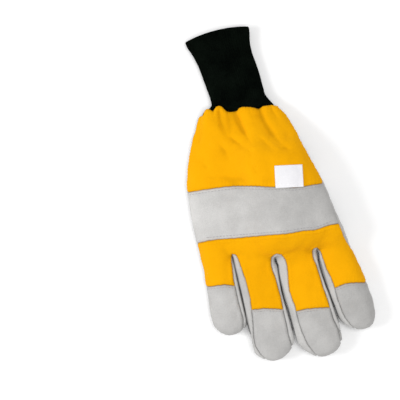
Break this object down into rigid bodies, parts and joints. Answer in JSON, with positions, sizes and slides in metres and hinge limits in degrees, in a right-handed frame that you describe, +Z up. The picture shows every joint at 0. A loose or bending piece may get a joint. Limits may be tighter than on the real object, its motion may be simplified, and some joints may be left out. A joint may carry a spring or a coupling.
{
  "type": "chainsaw glove",
  "caption": "Protective work glove for a right hand, yellow cloth back, grey leather palm, band and fingertips, black knit cuff, lying palm down.",
  "frame": {"origin": "middle of the glove's box in X and Y, on the surface that it lies on", "axes": "+Z up, away from that surface and out of the back of the hand; +Y from the fingertips to the cuff's opening; +X towards the thumb's side"},
  "size_m": [0.1446, 0.3088, 0.0409],
  "materials": {
    "grey_leather": "soft grey split leather with a fine nap",
    "yellow_cloth": "woven matt yellow-orange cloth",
    "black_knit": "ribbed matt black knit",
    "white_cloth": "smooth white woven tape"
  },
  "bodies": {
    "root": {"palm_leather": "grey_leather", "thumb_leather": "grey_leather", "strip_little_ring": "grey_leather", "strip_ring_middle": "grey_leather", "strip_middle_index": "grey_leather", "knuckle_band": "grey_leather", "little_cap": "grey_leather", "ring_cap": "grey_leather", "middle_cap": "grey_leather", "index_cap": "grey_leather", "back_upper": "yellow_cloth", "back_lower": "yellow_cloth", "knit_cuff": "black_knit", "size_tag": "white_cloth"}
  },
  "joints": []
}
